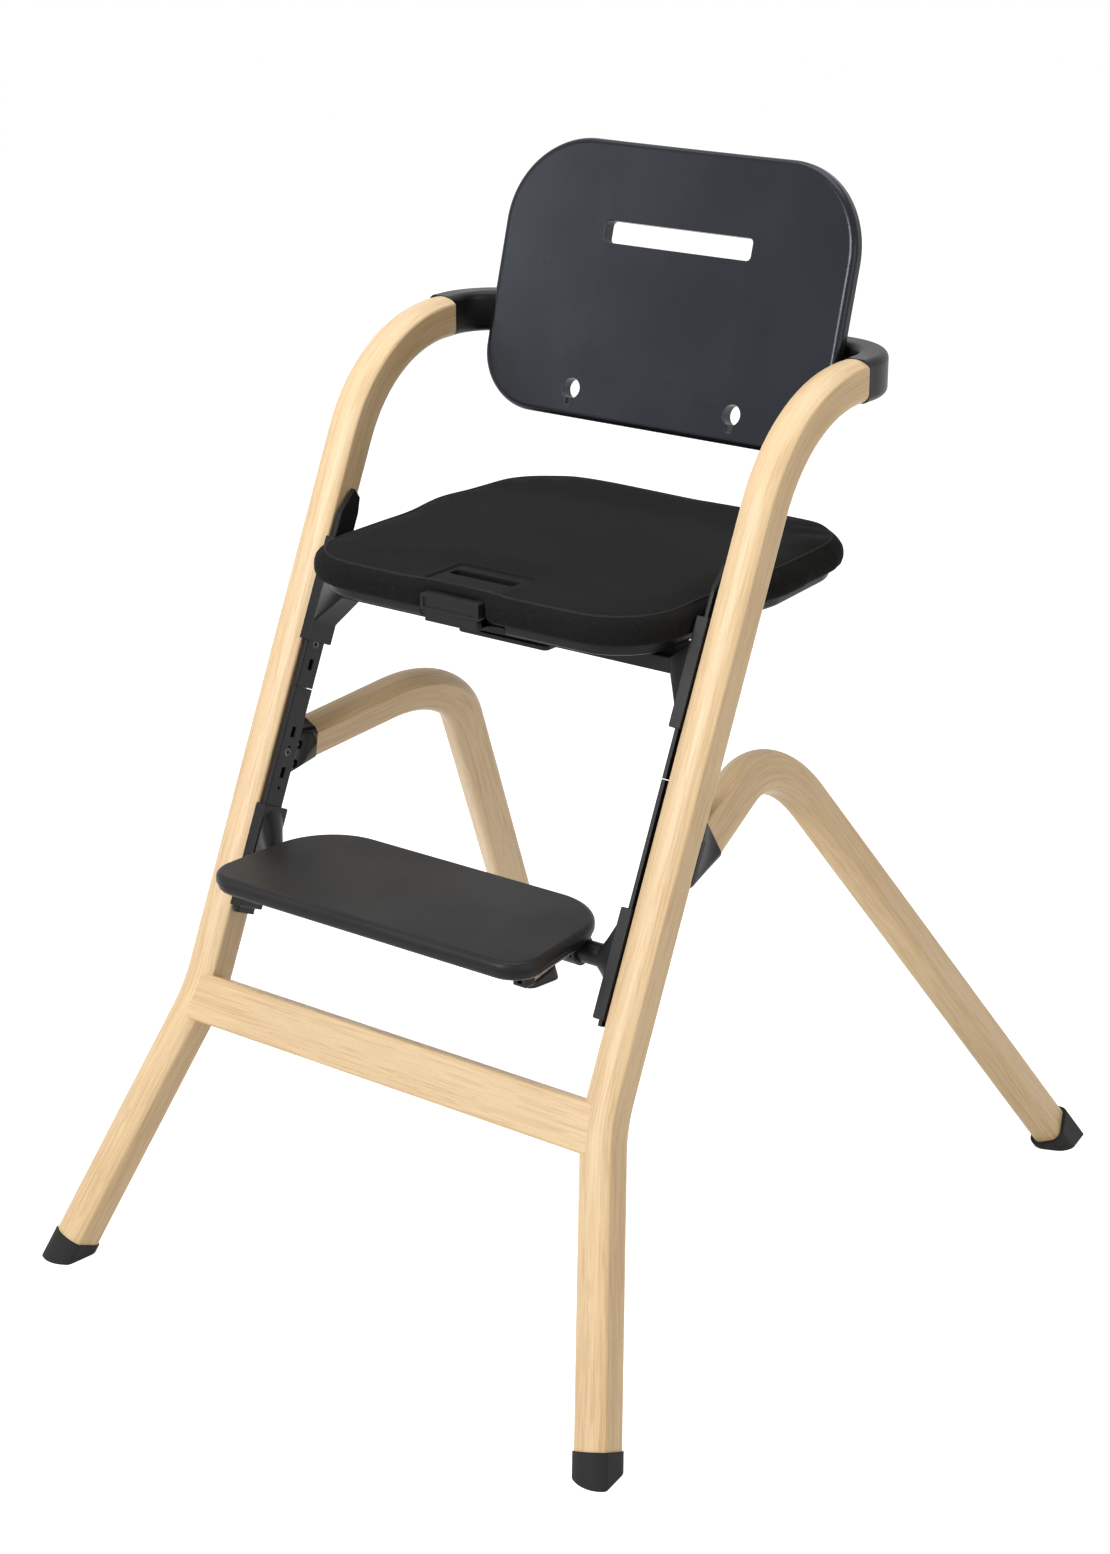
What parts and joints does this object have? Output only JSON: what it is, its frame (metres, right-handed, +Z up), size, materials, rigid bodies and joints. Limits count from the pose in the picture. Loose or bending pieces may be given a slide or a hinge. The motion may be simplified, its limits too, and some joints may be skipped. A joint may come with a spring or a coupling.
{
  "type": "baby high chair",
  "caption": "Height-adjustable wooden high chair with black moulded backrest, padded seat and footrest on toothless T-rails, four splayed legs with rubber caps.",
  "frame": {"origin": "On the floor, midway between the four feet: X=0 is the mid-plane, Y=0 is halfway between the front and rear foot centres.", "axes": "+Z up, +X to the sitting child's left (the chair's right-hand side seen from the front), -Y is the front of the chair."},
  "size_m": [0.6188, 0.717, 0.8682],
  "materials": {
    "wood": "satin",
    "plastic": "matte",
    "back_plastic": "satin",
    "rubber": "matte",
    "steel": "satin",
    "fabric": "matte"
  },
  "bodies": {
    "frame": {"front_leg_right": "wood", "front_leg_left": "wood", "rear_leg_right": "wood", "rear_leg_left": "wood", "rear_leg_socket_right": "plastic", "rear_leg_socket_left": "plastic", "front_foot_cap_right": "rubber", "front_foot_cap_left": "rubber", "rear_foot_cap_right": "rubber", "rear_foot_cap_left": "rubber", "front_crossbar": "wood", "crossbar_dowels": "wood", "back_hoop": "plastic", "backrest_front_shell": "back_plastic", "backrest_rear_shell": "back_plastic", "backrest_mount_right": "plastic", "backrest_mount_left": "plastic", "backrest_screws": "steel", "hoop_screws": "steel", "rear_leg_socket_screws": "steel", "lower_guide_rail_right": "plastic", "lower_guide_rail_left": "plastic", "upper_guide_rail_right": "plastic", "upper_guide_rail_left": "plastic", "guide_rail_screws": "steel"},
    "seat_carriage": {"seat_carrier_right": "plastic", "seat_carrier_left": "plastic", "seat_cross_beam": "plastic", "seat_carrier_bolts": "steel", "seat_arm_right": "plastic", "seat_arm_left": "plastic", "seat_arm_stretcher": "plastic", "seat_latch_springs": "steel"},
    "release_bar": {"seat_release_bar": "plastic"},
    "seat_latch_right": {"seat_latch_right": "plastic"},
    "seat_latch_left": {"seat_latch_left": "plastic"},
    "seat": {"seat_shell": "plastic", "seat_pad": "fabric", "strap_bezel": "plastic"},
    "depth_trigger": {"depth_trigger": "plastic", "depth_bolt": "plastic"},
    "footrest": {"footrest_tread": "plastic", "footrest_tray": "plastic", "footrest_shaft": "steel", "footrest_screws": "steel", "footrest_latch_springs": "steel", "footrest_carrier_right": "plastic", "footrest_carrier_left": "plastic"},
    "footrest_latch_right": {"footrest_latch_right": "plastic"},
    "footrest_latch_left": {"footrest_latch_left": "plastic"}
  },
  "joints": [
    {"name": "seat_height", "type": "slide", "parent": "frame", "child": "seat_carriage", "axis": [0, 0.4226, 0.9063], "range_m": [-0.034, 0.034]},
    {"name": "seat_release", "type": "slide", "parent": "seat_carriage", "child": "release_bar", "axis": [0, 1, 0], "range_m": [0, 0.0045]},
    {"name": "seat_latch_right_slide", "type": "slide", "parent": "seat_carriage", "child": "seat_latch_right", "axis": [1, 0, 0], "range_m": [0, 0.0045]},
    {"name": "seat_latch_left_slide", "type": "slide", "parent": "seat_carriage", "child": "seat_latch_left", "axis": [-1, 0, 0], "range_m": [0, 0.0045]},
    {"name": "seat_depth", "type": "slide", "parent": "seat_carriage", "child": "seat", "axis": [0, -1, 0], "range_m": [0, 0.04]},
    {"name": "depth_trigger_drop", "type": "slide", "parent": "seat", "child": "depth_trigger", "axis": [0, 0, -1], "range_m": [0, 0.003]},
    {"name": "footrest_height", "type": "slide", "parent": "frame", "child": "footrest", "axis": [0, 0.4226, 0.9063], "range_m": [0, 0.068]},
    {"name": "footrest_latch_right_slide", "type": "slide", "parent": "footrest", "child": "footrest_latch_right", "axis": [1, 0, 0], "range_m": [0, 0.0045]},
    {"name": "footrest_latch_left_slide", "type": "slide", "parent": "footrest", "child": "footrest_latch_left", "axis": [-1, 0, 0], "range_m": [0, 0.0045]}
  ],
  "couplings": [
    {"joint": "seat_latch_right_slide", "follows": "seat_release", "ratio": 1},
    {"joint": "seat_latch_left_slide", "follows": "seat_release", "ratio": 1}
  ]
}
